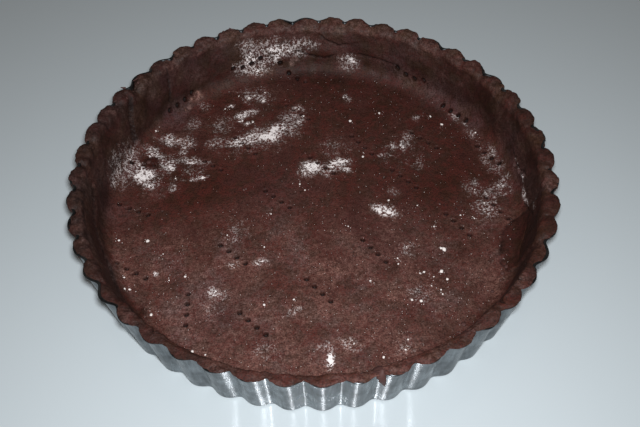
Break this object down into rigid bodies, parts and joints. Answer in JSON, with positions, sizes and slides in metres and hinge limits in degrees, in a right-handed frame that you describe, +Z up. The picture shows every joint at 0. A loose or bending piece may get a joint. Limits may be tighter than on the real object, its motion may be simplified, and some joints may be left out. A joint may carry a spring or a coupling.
{
  "type": "unfilled chocolate tart case in its fluted tin",
  "caption": "Unbaked cocoa shortcrust case, fork-docked and dusted with flour, pressed into a round fluted metal tart tin",
  "frame": {"origin": "centre of the tin's flat underside, on the surface it stands on", "axes": "+Z up; the tin is round about Z and one of its 48 flute crests lies on +X; the view it is usually seen from looks along +Y"},
  "size_m": [0.28, 0.28, 0.0421],
  "materials": {
    "tinplate": "satin pressed tinplate with drawn streaks",
    "cocoa_dough": "matt raw cocoa dough with a dusting of flour"
  },
  "bodies": {
    "root": {"tart_tin": "tinplate", "pastry_case": "cocoa_dough"}
  },
  "joints": []
}
